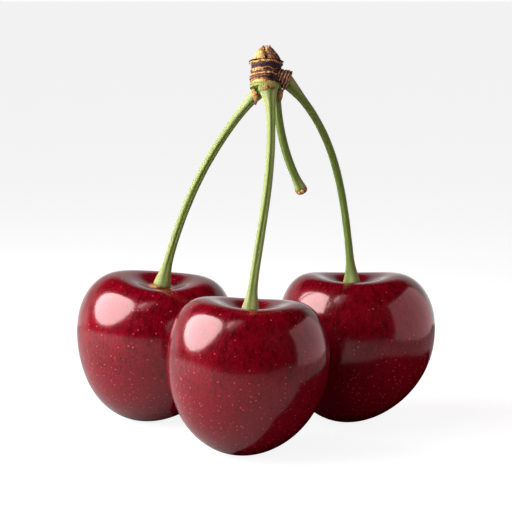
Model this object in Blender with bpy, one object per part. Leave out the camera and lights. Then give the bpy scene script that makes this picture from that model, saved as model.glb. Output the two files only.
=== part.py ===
"""Three sweet cherries on their stalks, as picked, standing on a table on their fruit.

The stalks meet at a short woody spur. A fourth stalk has lost its fruit. Metres, +Z up,
-Y towards the front. The origin lies on the table under the middle of the bunch.
"""

import math
from dataclasses import dataclass

import bmesh
import bpy
import numpy as np
from mathutils import Matrix, Vector

MM = 0.001
UP = Vector((0, 0, 1))
FRONT = Vector((0, -1, 0))

# ---- what every piece shares ----
SEAT_GAP = 0.3 * MM  # left between two pieces that grow against each other
TUCK = 0.6 * MM  # how far a stalk is drawn past the face that trims it
PATCH_DEPTH = 0.06 * MM  # how far a fruit flattens where it bears on the table

# ---- where the fruit stand: free space between neighbours ----
GAP_BACK_PAIR = 7.7 * MM
GAP_FRONT_TO_LEFT = 0.35 * MM
GAP_FRONT_TO_RIGHT = 1.95 * MM

# ---- the stalk pit, which the foot of a stalk stands in ----
PIT_FLOOR_RADIUS = 1.8 * MM
PIT_WALL_ANGLE = math.radians(21)  # how fast the pit opens from its floor to the shoulders

# ---- the fruit's mesh ----
FRUIT_SIDES = 28
FRUIT_RINGS = 20
SHOULDER_CROWDING = 1.2  # above 1 draws the rings together around the pit
SHOULDER_SQUARENESS = 2.3  # exponent of the upper half; 2 would be an ellipse

# ---- the spur ----
SPUR_RISE = 29.6 * MM  # spur's foot above the crown of the tallest fruit
SPUR_OFFSET = Vector((2.05 * MM, -1.2 * MM, 0))  # foot, from the middle of the three fruit
SPUR_LENGTH = 7.2 * MM
SPUR_FOOT_RADIUS = 2.65 * MM
SPUR_NECK_RADIUS = 2.5 * MM  # where the tip scales begin
SPUR_CORE_RADIUS = 1.75 * MM  # under the tip scales
SPUR_TIP_RADIUS = 0.35 * MM
SPUR_TIP_ROUNDNESS = 1.2  # 1 would be a cone
SPUR_NECK_SHARE = 0.62  # of the spur's length, up to the tip scales
SPUR_LEAN_BACK = 18
SPUR_LEAN_RIGHT = 1
SPUR_SIDES = 20
SCAR_RINGS = 6
SCAR_HEIGHT = 0.16 * MM

# ---- the side bud, from which the right stalk grows ----
BUD_ABOVE_FOOT = -0.07 * MM  # lower lip of its mouth above the spur's foot
BUD_STAND_OFF = 1.0 * MM  # its mouth from the side of the spur
BUD_MOUTH_RADIUS = 1.6 * MM
BUD_BACK_RADIUS = 1.3 * MM
BUD_DEPTH = 2.3 * MM
BUD_LIP = 0.12 * MM  # how far its rolled rings stand out
BUD_AIM = Vector((0.92, 0.08, -0.40))

# ---- bud scales ----
TIP_SCALE_THICKNESS = 0.38 * MM
TIP_SCALE_LENGTH = 2.4 * MM
TIP_SCALES = 4
TIP_SCALE_COVER = 0.80  # share of the circle that they cover at their base
BRACT_THICKNESS = 0.32 * MM
SCALE_ROWS = 5
SCALE_COLUMNS = 6
SCALE_NARROWING = 0.8  # share of its width that a scale loses towards its tip


@dataclass
class Fruit:
    """A fruit's sizes. Angles are in degrees."""

    width: float  # side to side
    thickness: float  # front to back
    crown: float  # girth to the top, before the pit is pressed in
    base: float  # girth to the blossom end
    pit_drop: float  # floor of the pit below the undented top
    rim_dip: float  # how much wider the pit opens to the front and back, as a share
    pit_shift: float  # how far the pit lies to the right of the axis
    tip_shift: float  # how far the blossom end lies to the right of the axis
    lean_back: float
    lean_right: float


@dataclass
class Stalk:
    """A stalk's radii and how it bends. The reaches are shares of its straight length."""

    middle: float
    top: float
    top_flare: float  # length over which the top narrows to the middle
    foot_flare: float
    set_off: Vector  # direction in which it leaves the spur
    top_reach: float
    foot_reach: float
    foot_lean: float = 0.0  # degrees to the right of the fruit's axis, at the foot
    foot: float = PIT_FLOOR_RADIUS - SEAT_GAP


FRUITS = {
    "front": Fruit(
        width=26.2 * MM,
        thickness=24.4 * MM,
        crown=12.2 * MM,
        base=15.8 * MM,
        pit_drop=4.5 * MM,
        rim_dip=0.16,
        pit_shift=0,
        tip_shift=-0.6 * MM,
        lean_back=3,
        lean_right=3,
    ),
    "left": Fruit(
        width=26.9 * MM,
        thickness=24.6 * MM,
        crown=12.0 * MM,
        base=16.1 * MM,
        pit_drop=4.2 * MM,
        rim_dip=0.20,
        pit_shift=0.7 * MM,
        tip_shift=-1.2 * MM,
        lean_back=-4,
        lean_right=4,
    ),
    "right": Fruit(
        width=26.9 * MM,
        thickness=24.8 * MM,
        crown=12.1 * MM,
        base=16.3 * MM,
        pit_drop=4.4 * MM,
        rim_dip=0.16,
        pit_shift=-0.9 * MM,
        tip_shift=-1.6 * MM,
        lean_back=2,
        lean_right=0,
    ),
}

STALKS = {
    "front": Stalk(
        middle=0.70 * MM,
        top=1.50 * MM,
        top_flare=2.8 * MM,
        foot_flare=2.2 * MM,
        set_off=Vector((0.16, -0.42, -1)),
        top_reach=0.36,
        foot_reach=0.30,
        foot_lean=2,
    ),
    "left": Stalk(
        middle=0.72 * MM,
        top=1.12 * MM,
        top_flare=3.0 * MM,
        foot_flare=2.6 * MM,
        set_off=Vector((-0.67, 0.20, -0.74)),
        top_reach=0.45,
        foot_reach=0.24,
        foot_lean=11,
    ),
    "right": Stalk(
        middle=0.64 * MM,
        top=1.25 * MM,
        top_flare=3.0 * MM,
        foot_flare=2.4 * MM,
        set_off=Vector((0.69, 0.15, -0.72)),
        top_reach=0.27,
        foot_reach=0.54,
        foot_lean=-4,
    ),
}

# Where each stalk leaves the spur's foot: distance from the axis, and turn from +X.
FOOT_SOCKETS = {
    "front": (1.55 * MM, -80),
    "left": (1.25 * MM, 114),
    "bare": (1.80 * MM, 20),
}

# ---- the stalk that has lost its fruit ----
BARE = Stalk(
    middle=0.68 * MM,
    top=0.78 * MM,
    top_flare=3.0 * MM,
    foot_flare=1.3 * MM,
    set_off=Vector((0.02, 0.05, -1)),
    top_reach=0.55,
    foot_reach=0.16,
    foot=1.02 * MM,
)
BARE_DROP = Vector((4.3 * MM, 2.0 * MM, -17.4 * MM))  # its end, from its socket
BARE_END_AIM = Vector((0.38, 0.1, -1))
SCAR_CAP_LENGTH = 0.75 * MM  # the dry scar left on its end


@dataclass
class Bract:
    """A small scale that hugs a stalk. Angles are in degrees, from the front towards the left."""

    stalk: str
    start: float  # along the stalk
    length: float
    half_width: float
    base_turn: float
    tip_turn: float


BRACTS = {
    "bract_left": Bract("left", 1.1 * MM, 1.9 * MM, 38, 55, -60),
    "bract_front": Bract("front", 1.0 * MM, 0.9 * MM, 80, 0, 0),
    "bract_right": Bract("bare", 1.2 * MM, 1.6 * MM, 55, -75, -25),
    "bract_back": Bract("left", 1.7 * MM, 1.8 * MM, 50, 190, 160),
}

COLOURS = {
    "skin": (0.27, 0.006, 0.018, 0.18),
    "stalk": (0.30, 0.40, 0.08, 0.5),
    "bark": (0.16, 0.07, 0.03, 0.75),
    "scale": (0.42, 0.22, 0.07, 0.7),
    "scar": (0.45, 0.20, 0.09, 0.8),
}


def clear_scene():
    for obj in list(bpy.data.objects):
        bpy.data.objects.remove(obj, do_unlink=True)


def material(name):
    """A Principled material from the table of colours: red, green, blue and roughness."""
    found = bpy.data.materials.get(name)
    if found:
        return found
    made = bpy.data.materials.new(name)
    made.use_nodes = True
    red, green, blue, roughness = COLOURS[name]
    shader = made.node_tree.nodes["Principled BSDF"]
    shader.inputs["Base Color"].default_value = (red, green, blue, 1)
    shader.inputs["Roughness"].default_value = roughness
    return made


def add_object(name, data, colour, parent, place=None):
    obj = bpy.data.objects.new(name, data)
    bpy.context.scene.collection.objects.link(obj)
    data.materials.clear()
    data.materials.append(material(colour))
    obj.parent = parent
    if place is not None:
        obj.matrix_local = place
    return obj


def mesh_from(bm, name):
    bmesh.ops.recalc_face_normals(bm, faces=bm.faces)
    mesh = bpy.data.meshes.new(name)
    bm.to_mesh(mesh)
    bm.free()
    mesh.shade_smooth()
    mesh.set_sharp_from_angle(angle=math.radians(50))
    return mesh


def turned_to(direction):
    """Rotation that carries +Z onto a direction."""
    return UP.rotation_difference(direction.normalized()).to_matrix().to_4x4()


def lean(back, right):
    """Rotation that leans +Z away from the front and to the right, in degrees."""
    return Matrix.Rotation(math.radians(right), 4, "Y") @ Matrix.Rotation(
        math.radians(-back), 4, "X"
    )


# ---------------------------------------------------------------- fruit


def pit_floor_height(fruit):
    return fruit.crown - fruit.pit_drop


def pit_centre(fruit):
    """Middle of the pit's floor, from the girth's centre."""
    return Vector((fruit.pit_shift, 0, pit_floor_height(fruit)))


def pit_floor_angle(fruit):
    """Angle from the axis, seen from the girth's centre, of the pit floor's edge."""
    return math.atan(PIT_FLOOR_RADIUS / pit_floor_height(fruit))


def fruit_distance(fruit, polar, turn):
    """Distance from the girth's centre to the skin, in a direction given by its angles.

    The body is an egg of two half superellipses joined at the girth. A smooth dent is
    pressed into its top, and it opens wider to the front and back than to the sides.
    """
    across = 1 / math.hypot(
        math.cos(turn) / (fruit.width / 2), math.sin(turn) / (fruit.thickness / 2)
    )
    upper = polar < math.pi / 2
    power = SHOULDER_SQUARENESS if upper else 2.0
    along = fruit.crown if upper else fruit.base
    flat = (math.sin(polar) / across) ** power + (abs(math.cos(polar)) / along) ** power
    egg = flat ** (-1 / power)
    opened = PIT_WALL_ANGLE * (1 + fruit.rim_dip * math.sin(turn) ** 2)
    past_floor = max(0.0, polar - pit_floor_angle(fruit))
    dent = fruit.pit_drop / fruit.crown * math.exp(-((past_floor / opened) ** 2))
    return egg * (1 - dent)


def fruit_point(fruit, ring, turn):
    """Point of the skin on one of the mesh's rings, counted from the pit's floor."""
    floor = pit_floor_angle(fruit)
    share = (ring - 1) / (FRUIT_RINGS - 1)
    polar = floor + (math.pi - floor) * share**SHOULDER_CROWDING
    if ring == 1:
        edge = Vector((math.cos(turn), math.sin(turn), 0)) * PIT_FLOOR_RADIUS
        return pit_centre(fruit) + edge
    out = fruit_distance(fruit, polar, turn)
    rise = math.cos(polar)
    shift = fruit.pit_shift * rise**2 if rise > 0 else fruit.tip_shift * -(rise**3)
    return Vector(
        (
            out * math.sin(polar) * math.cos(turn) + shift,
            out * math.sin(polar) * math.sin(turn),
            out * rise,
        )
    )


def fruit_mesh(fruit, name, rotation):
    """A globe whose rings are moved onto the skin, then cut flat where it bears on the table.

    It returns the mesh and how high the girth's centre then stands.
    """
    bm = bmesh.new()
    bmesh.ops.create_uvsphere(bm, u_segments=FRUIT_SIDES, v_segments=FRUIT_RINGS, radius=1)
    for vert in bm.verts:
        polar = vert.co.angle(UP)
        ring = round(polar / math.pi * FRUIT_RINGS)
        if ring == 0:
            vert.co = pit_centre(fruit)
        elif ring == FRUIT_RINGS:
            vert.co = Vector((fruit.tip_shift, 0, -fruit.base))
        else:
            vert.co = fruit_point(fruit, ring, math.atan2(vert.co.y, vert.co.x))
    down = -(rotation.inverted() @ UP)
    reach = max(vert.co.dot(down) for vert in bm.verts) - PATCH_DEPTH
    cut = bmesh.ops.bisect_plane(
        bm,
        geom=bm.verts[:] + bm.edges[:] + bm.faces[:],
        plane_co=down * reach,
        plane_no=down,
        clear_outer=True,
    )
    edges = [e for e in cut["geom_cut"] if isinstance(e, bmesh.types.BMEdge)]
    bmesh.ops.contextual_create(bm, geom=edges)
    return mesh_from(bm, name), reach


def fruit_places():
    """Where the three fruit stand in plan, from their widths and the gaps between them."""
    front, left, right = (FRUITS[n].width / 2 for n in ("front", "left", "right"))
    spread = left + right + GAP_BACK_PAIR
    to_left = front + left + GAP_FRONT_TO_LEFT
    to_right = front + right + GAP_FRONT_TO_RIGHT
    x = (to_left**2 - to_right**2) / (2 * spread)
    y = -math.sqrt(to_left**2 - (x + spread / 2) ** 2)
    return {
        "front": Vector((x, y, 0)),
        "left": Vector((-spread / 2, 0, 0)),
        "right": Vector((spread / 2, 0, 0)),
    }


def build_fruits(bunch):
    """The three fruit. It returns the place of each, as a matrix."""
    placed = {}
    for name, plan in fruit_places().items():
        fruit = FRUITS[name]
        rotation = lean(fruit.lean_back, fruit.lean_right)
        mesh, height = fruit_mesh(fruit, f"cherry_{name}", rotation)
        placed[name] = Matrix.Translation(plan + UP * height) @ rotation
        add_object(f"cherry_{name}", mesh, "skin", bunch, placed[name])
    return placed


# ---------------------------------------------------------------- spur and side bud


def spur_radius(height):
    """Radius of the spur at a height above its foot, with its rings of scars."""
    neck = SPUR_LENGTH * SPUR_NECK_SHARE
    if height <= neck:
        share = height / neck
        smooth = SPUR_FOOT_RADIUS + (SPUR_NECK_RADIUS - SPUR_FOOT_RADIUS) * share
        return smooth + SCAR_HEIGHT * math.cos(2 * math.pi * SCAR_RINGS * share)
    share = (height - neck) / (SPUR_LENGTH - neck)
    return SPUR_CORE_RADIUS + (SPUR_TIP_RADIUS - SPUR_CORE_RADIUS) * share**SPUR_TIP_ROUNDNESS


def turned_solid(profile, sides, name):
    """Solid of revolution about +Z from (radius, height) points that begin and end on it."""
    bm = bmesh.new()
    verts = [bm.verts.new((radius, 0, height)) for radius, height in profile]
    for lower, upper in zip(verts, verts[1:]):
        bm.edges.new((lower, upper))
    bmesh.ops.spin(
        bm,
        geom=bm.verts[:] + bm.edges[:],
        axis=UP,
        cent=(0, 0, 0),
        angle=2 * math.pi,
        steps=sides,
    )
    bmesh.ops.remove_doubles(bm, verts=bm.verts, dist=1e-7)
    return mesh_from(bm, name)


def spur_profile(grown=0.0):
    """Outline of the spur, or of the space that it and a gap take up."""
    neck = SPUR_LENGTH * SPUR_NECK_SHARE
    heights = [neck * k / (2 * SCAR_RINGS) for k in range(2 * SCAR_RINGS + 1)]
    heights += [neck + 0.02 * MM]
    heights += [neck + (SPUR_LENGTH - neck) * share for share in (0.4, 0.75, 1.0)]
    outline = [(spur_radius(h) + grown, h) for h in heights]
    outline[0] = (outline[0][0], -grown)
    outline[-1] = (outline[-1][0], SPUR_LENGTH + grown)
    return [(0, -grown), *outline, (0, SPUR_LENGTH + grown)]


def bud_profile():
    """The side bud from its back to its mouth, a cup with rolled rings, mouth at height 0."""
    return [
        (0, -BUD_DEPTH),
        (BUD_BACK_RADIUS, -BUD_DEPTH),
        (BUD_BACK_RADIUS + BUD_LIP, -0.72 * BUD_DEPTH),
        (BUD_BACK_RADIUS, -0.60 * BUD_DEPTH),
        (BUD_MOUTH_RADIUS, -0.34 * BUD_DEPTH),
        (BUD_MOUTH_RADIUS - BUD_LIP, -0.22 * BUD_DEPTH),
        (BUD_MOUTH_RADIUS, -0.10 * BUD_DEPTH),
        (BUD_MOUTH_RADIUS - BUD_LIP, 0),
        (0, 0),
    ]


def helper(name, mesh, parent, place):
    """A cutter: it shapes its neighbours and is no part of the bunch."""
    obj = add_object(name, mesh, "bark", parent, place)
    obj.hide_render = True
    obj.display_type = "WIRE"
    return obj


def cut_away(obj, cutter):
    trim = obj.modifiers.new(f"clear_of_{cutter.name}", "BOOLEAN")
    trim.operation = "DIFFERENCE"
    trim.solver = "EXACT"
    trim.object = cutter


def slab(bottom, top):
    """A wide disc that trims a stalk flat where it meets the spur's foot or the bud's mouth."""
    rim = 3 * SPUR_FOOT_RADIUS
    return turned_solid([(0, bottom), (rim, bottom), (rim, top), (0, top)], SPUR_SIDES, "slab")


def build_spur(bunch, fruit_at):
    """The spur and the side bud. It returns their places and the two cutters."""
    middle = sum((at.translation for at in fruit_at.values()), Vector()) / len(fruit_at)
    crown = max((at @ (UP * FRUITS[name].crown)).z for name, at in fruit_at.items())
    foot = Vector((middle.x, middle.y, crown + SPUR_RISE)) + SPUR_OFFSET
    spur_at = Matrix.Translation(foot) @ lean(SPUR_LEAN_BACK, SPUR_LEAN_RIGHT)
    wood = turned_solid(spur_profile(), SPUR_SIDES, "spur")
    add_object("spur", wood, "bark", bunch, spur_at)
    space = turned_solid(spur_profile(SEAT_GAP), SPUR_SIDES, "spur_space")
    spur_space = helper("spur_space", space, bunch, spur_at)

    aim = BUD_AIM.normalized()
    mouth_height = BUD_MOUTH_RADIUS * math.sqrt(1 - aim.z**2) + BUD_ABOVE_FOOT
    mouth = spur_at @ Vector((SPUR_FOOT_RADIUS + BUD_STAND_OFF, 0, mouth_height))
    bud_at = Matrix.Translation(mouth) @ turned_to(aim)
    cup = turned_solid(bud_profile(), SPUR_SIDES, "side_bud")
    cut_away(add_object("side_bud", cup, "bark", bunch, bud_at), spur_space)

    foot_space = helper("foot_space", slab(-SEAT_GAP, 3 * SPUR_FOOT_RADIUS), bunch, spur_at)
    mouth_space = helper("mouth_space", slab(-2 * BUD_MOUTH_RADIUS, SEAT_GAP), bunch, bud_at)
    return spur_at, bud_at, foot_space, mouth_space


# ---------------------------------------------------------------- stalks


def bend(start, set_off, end, arrival, stalk, steps):
    """Centre line as a cubic Bezier curve, from the spur down to the fruit."""
    span = (end - start).length
    handles = (
        start,
        start + set_off.normalized() * span * stalk.top_reach,
        end + arrival.normalized() * span * stalk.foot_reach,
        end,
    )
    line = []
    for step in range(steps + 1):
        t = step / steps
        weights = ((1 - t) ** 3, 3 * t * (1 - t) ** 2, 3 * t * t * (1 - t), t**3)
        line.append(sum((w * h for w, h in zip(weights, handles)), Vector()))
    return line


def stalk_radius(stalk, along, length):
    """Slim in the middle, swelling to both ends."""
    top = (stalk.top - stalk.middle) * math.exp(-((along / stalk.top_flare) ** 1.6))
    foot = (stalk.foot - stalk.middle) * math.exp(
        -(((length - along) / stalk.foot_flare) ** 1.6)
    )
    return stalk.middle + top + foot


def distances(line):
    steps = [0.0] + [(b - a).length for a, b in zip(line, line[1:])]
    return list(np.cumsum(steps))


def tube(name, line, radii, colour, parent):
    """A round tube along a line, as a mesh, so that it can be cut."""
    curve = bpy.data.curves.new(name, "CURVE")
    curve.dimensions = "3D"
    curve.bevel_depth = max(radii)
    curve.bevel_resolution = 3
    curve.use_fill_caps = True
    spline = curve.splines.new("POLY")
    spline.points.add(len(line) - 1)
    for point, place, radius in zip(spline.points, line, radii):
        point.co = (*place, 1)
        point.radius = radius / max(radii)
    guide = bpy.data.objects.new(name, curve)
    bpy.context.scene.collection.objects.link(guide)
    bpy.context.view_layer.update()
    made = bpy.data.meshes.new_from_object(
        guide.evaluated_get(bpy.context.evaluated_depsgraph_get())
    )
    bpy.data.objects.remove(guide)
    bm = bmesh.new()
    bm.from_mesh(made)
    bmesh.ops.remove_doubles(bm, verts=bm.verts, dist=1e-6)
    bpy.data.meshes.remove(made)
    return add_object(name, mesh_from(bm, name), colour, parent)


def socket(spur_at, name):
    """Point just inside the spur's foot, from which a stalk grows."""
    distance, turn = FOOT_SOCKETS[name]
    angle = math.radians(turn)
    return spur_at @ Vector((distance * math.cos(angle), distance * math.sin(angle), TUCK))


def build_stalks(bunch, fruit_at, spur_at, bud_at, foot_space, mouth_space):
    """The three fruiting stalks. It returns their centre lines."""
    lines = {}
    for name, stalk in STALKS.items():
        at = fruit_at[name]
        tilt = stalk.foot * math.sin(math.radians(abs(stalk.foot_lean)))
        foot = at @ (pit_centre(FRUITS[name]) + UP * (SEAT_GAP + tilt))
        axis = (lean(0, stalk.foot_lean) @ at).to_3x3() @ UP
        if name == "right":
            start = bud_at @ (UP * -TUCK)
        else:
            start = socket(spur_at, name)
        lines[name] = bend(start, stalk.set_off, foot, axis, stalk, steps=26)
        lengths = distances(lines[name])
        radii = [stalk_radius(stalk, s, lengths[-1]) for s in lengths]
        made = tube(f"stalk_{name}", lines[name], radii, "stalk", bunch)
        cut_away(made, mouth_space if name == "right" else foot_space)
    return lines


def build_bare_stalk(bunch, spur_at, foot_space):
    """The stalk that has lost its fruit, and the dry scar on its end."""
    start = socket(spur_at, "bare")
    end = start + BARE_DROP
    line = bend(start, BARE.set_off, end, -BARE_END_AIM, BARE, steps=18)
    lengths = distances(line)
    radii = [stalk_radius(BARE, s, lengths[-1]) for s in lengths]
    cut_away(tube("bare_stalk", line, radii, "stalk", bunch), foot_space)

    aim = (line[-1] - line[-2]).normalized()
    cap_at = Matrix.Translation(line[-1] + aim * SEAT_GAP) @ turned_to(aim)
    profile = [
        (0, 0),
        (BARE.foot, 0),
        (0.86 * BARE.foot, 0.4 * SCAR_CAP_LENGTH),
        (0.45 * BARE.foot, 0.85 * SCAR_CAP_LENGTH),
        (0, SCAR_CAP_LENGTH),
    ]
    add_object("stalk_scar", turned_solid(profile, 12, "stalk_scar"), "scar", bunch, cap_at)
    return line


# ---------------------------------------------------------------- bud scales


def plate(name, rows, thickness, parent, place=None):
    """A thin solid from a grid of points on its inner face."""
    bm = bmesh.new()
    grid = [[bm.verts.new(point) for point in row] for row in rows]
    for lower, upper in zip(grid, grid[1:]):
        for k in range(len(lower) - 1):
            bm.faces.new((lower[k], lower[k + 1], upper[k + 1], upper[k]))
    mesh = bpy.data.meshes.new(name)
    bm.to_mesh(mesh)
    bm.free()
    obj = add_object(name, mesh, "scale", parent, place)
    shell = obj.modifiers.new("thickness", "SOLIDIFY")
    shell.thickness = thickness
    shell.offset = 1.0
    return obj


def across_scale(half, down, power):
    """Angles across one row of a scale, which narrows towards its tip."""
    narrowed = half * (1 - SCALE_NARROWING * down**power)
    return [narrowed * (2 * column / SCALE_COLUMNS - 1) for column in range(SCALE_COLUMNS + 1)]


def build_tip_scales(bunch, spur_at):
    """Pointed scales that stand round the spur's tip and close over it."""
    neck = SPUR_LENGTH * SPUR_NECK_SHARE
    half = math.pi / TIP_SCALES * TIP_SCALE_COVER
    for number in range(TIP_SCALES):
        middle = 2 * math.pi * (number + 0.5) / TIP_SCALES
        grid = []
        for row in range(SCALE_ROWS + 1):
            up = row / SCALE_ROWS
            above = SEAT_GAP + TIP_SCALE_LENGTH * up
            core = spur_radius(min(neck + above, SPUR_LENGTH))
            reach = (core + SEAT_GAP) / math.cos(math.pi / SPUR_SIDES)
            grid.append(
                [
                    (reach * math.cos(middle + turn), reach * math.sin(middle + turn), neck + above)
                    for turn in across_scale(half, up, power=2)
                ]
            )
        plate(f"tip_scale_{number + 1}", grid, TIP_SCALE_THICKNESS, bunch, spur_at)


def along_line(line, reach):
    """Point of a centre line at a distance from its start."""
    steps = distances(line)
    return Vector([float(np.interp(reach, steps, [p[axis] for p in line])) for axis in range(3)])


def build_bracts(bunch, lines, stalks, foot_space):
    """Small scales that hug the stalks just under the spur, each narrowing to its tip."""
    for name, bract in BRACTS.items():
        line, stalk = lines[bract.stalk], stalks[bract.stalk]
        grid = []
        for row in range(SCALE_ROWS + 1):
            down = row / SCALE_ROWS
            reach = bract.start + bract.length * down
            centre = along_line(line, reach)
            ahead = along_line(line, reach + bract.length / SCALE_ROWS)
            tangent = (ahead - centre).normalized()
            outward = (FRONT - FRONT.dot(tangent) * tangent).normalized()
            turn = bract.base_turn + (bract.tip_turn - bract.base_turn) * down
            outward = Matrix.Rotation(math.radians(turn), 3, tangent) @ outward
            side = tangent.cross(outward)
            radius = stalk_radius(stalk, reach, distances(line)[-1]) + SEAT_GAP
            angles = across_scale(math.radians(bract.half_width), down, power=1.6)
            grid.append(
                [centre + radius * (math.cos(a) * outward + math.sin(a) * side) for a in angles]
            )
        cut_away(plate(name, grid, BRACT_THICKNESS, bunch), foot_space)


def centre_on_origin(bunch):
    """Moves the whole bunch so that the middle of its box in plan is at the origin."""
    bpy.context.view_layer.update()
    graph = bpy.context.evaluated_depsgraph_get()
    places = []
    for obj in bunch.children:
        if obj.hide_render:
            continue
        shown = obj.evaluated_get(graph)
        places += [shown.matrix_world @ vert.co for vert in shown.data.vertices]
    middle = [(min(p[axis] for p in places) + max(p[axis] for p in places)) / 2 for axis in (0, 1)]
    bunch.location = (-middle[0], -middle[1], 0)


def main():
    clear_scene()
    bunch = bpy.data.objects.new("bunch", None)
    bpy.context.scene.collection.objects.link(bunch)
    fruit_at = build_fruits(bunch)
    spur_at, bud_at, foot_space, mouth_space = build_spur(bunch, fruit_at)
    lines = build_stalks(bunch, fruit_at, spur_at, bud_at, foot_space, mouth_space)
    lines["bare"] = build_bare_stalk(bunch, spur_at, foot_space)
    build_tip_scales(bunch, spur_at)
    build_bracts(bunch, lines, {**STALKS, "bare": BARE}, foot_space)
    centre_on_origin(bunch)


main()
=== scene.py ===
"""Looks of three sweet cherries on their stalks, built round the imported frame.

Metres, +Z up, -Y towards the front. Every piece is a closed skin: rings of points carried
along an axis or along a bent centre line, worked out as whole arrays.
"""

import math
from dataclasses import dataclass

import bpy
import numpy as np
from bpy.props import FloatProperty, FloatVectorProperty, IntProperty, PointerProperty
from bpy.types import Operator, Panel, PropertyGroup
from mathutils import Matrix, Vector


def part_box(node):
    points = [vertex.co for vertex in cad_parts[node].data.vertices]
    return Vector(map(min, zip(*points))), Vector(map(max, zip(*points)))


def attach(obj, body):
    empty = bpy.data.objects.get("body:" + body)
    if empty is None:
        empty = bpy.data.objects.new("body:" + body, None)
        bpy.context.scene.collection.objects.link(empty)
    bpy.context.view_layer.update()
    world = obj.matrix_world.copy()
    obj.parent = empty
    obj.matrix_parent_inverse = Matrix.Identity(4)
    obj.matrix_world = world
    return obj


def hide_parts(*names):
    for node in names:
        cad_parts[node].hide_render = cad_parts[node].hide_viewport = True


bl_info = {
    "name": "Cherries on stalks",
    "version": (1, 0, 0),
    "blender": (4, 5, 0),
    "location": "View3D > Sidebar > Cherries",
    "description": "Adds the skins of three cherries, their stalks and the spur that bears them",
    "category": "Add Mesh",
}

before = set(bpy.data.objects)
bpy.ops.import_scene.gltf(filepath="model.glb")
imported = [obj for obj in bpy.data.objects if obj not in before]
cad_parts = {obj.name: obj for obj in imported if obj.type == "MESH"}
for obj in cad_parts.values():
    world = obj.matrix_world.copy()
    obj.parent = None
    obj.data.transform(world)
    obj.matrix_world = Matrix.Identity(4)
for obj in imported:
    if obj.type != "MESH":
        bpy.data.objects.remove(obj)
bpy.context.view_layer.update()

MM = 0.001
UP = np.array([0.0, 0.0, 1.0])
FRONT = np.array([0.0, -1.0, 0.0])
FULL_TURN = 2 * math.pi

# ---- how the bunch is put together: the same values as the solids ----
SEAT_GAP = 0.3 * MM
PATCH_DEPTH = 0.06 * MM
PIT_FLOOR_RADIUS = 1.8 * MM
PIT_WALL_ANGLE = math.radians(21)
SHOULDER_SQUARENESS = 2.3
SPUR_LENGTH = 7.2 * MM
SPUR_FOOT_RADIUS = 2.65 * MM
SPUR_NECK_RADIUS = 2.5 * MM
SPUR_CORE_RADIUS = 1.75 * MM
SPUR_TIP_RADIUS = 0.35 * MM
SPUR_NECK = 0.62 * SPUR_LENGTH
SPUR_LEAN_BACK = 18
SPUR_LEAN_RIGHT = 1
BUD_ABOVE_FOOT = -0.07 * MM
BUD_STAND_OFF = 1.0 * MM
BUD_MOUTH_RADIUS = 1.6 * MM
BUD_BACK_RADIUS = 1.3 * MM
BUD_DEPTH = 2.3 * MM
BUD_AIM = np.array([0.92, 0.08, -0.40])
TIP_SCALE_LENGTH = 2.4 * MM


@dataclass
class Fruit:
    """A fruit's sizes. Angles are in degrees."""

    width: float
    thickness: float
    crown: float  # girth to the top, before the pit is pressed in
    base: float  # girth to the blossom end
    pit_drop: float
    rim_dip: float  # how much wider the pit opens to the front and back, as a share
    pit_shift: float
    tip_shift: float
    lean_back: float
    lean_right: float
    seed: int


@dataclass
class Stalk:
    """A stalk's radii and how it bends. The reaches are shares of its straight length."""

    middle: float
    top: float
    top_flare: float
    foot_flare: float
    set_off: tuple
    top_reach: float
    foot_reach: float
    foot: float
    foot_lean: float
    groove: float  # turn of its groove from the front towards the right, in degrees
    # painted light and shade: a stalk that the key light reaches less is painted darker, one that it
    # reaches more is painted paler
    painted_lightness: float  # how much paler than usual, as a share, or less where it is below 0
    seed: int


FRUITS = {
    "front": Fruit(
        width=26.2 * MM,
        thickness=24.4 * MM,
        crown=12.2 * MM,
        base=15.8 * MM,
        pit_drop=4.5 * MM,
        rim_dip=0.16,
        pit_shift=0,
        tip_shift=-0.6 * MM,
        lean_back=3,
        lean_right=3,
        seed=11,
    ),
    "left": Fruit(
        width=26.9 * MM,
        thickness=24.6 * MM,
        crown=12.0 * MM,
        base=16.1 * MM,
        pit_drop=4.2 * MM,
        rim_dip=0.20,
        pit_shift=0.7 * MM,
        tip_shift=-1.2 * MM,
        lean_back=-4,
        lean_right=4,
        seed=12,
    ),
    "right": Fruit(
        width=26.9 * MM,
        thickness=24.8 * MM,
        crown=12.1 * MM,
        base=16.3 * MM,
        pit_drop=4.4 * MM,
        rim_dip=0.16,
        pit_shift=-0.9 * MM,
        tip_shift=-1.6 * MM,
        lean_back=2,
        lean_right=0,
        seed=13,
    ),
}

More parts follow.
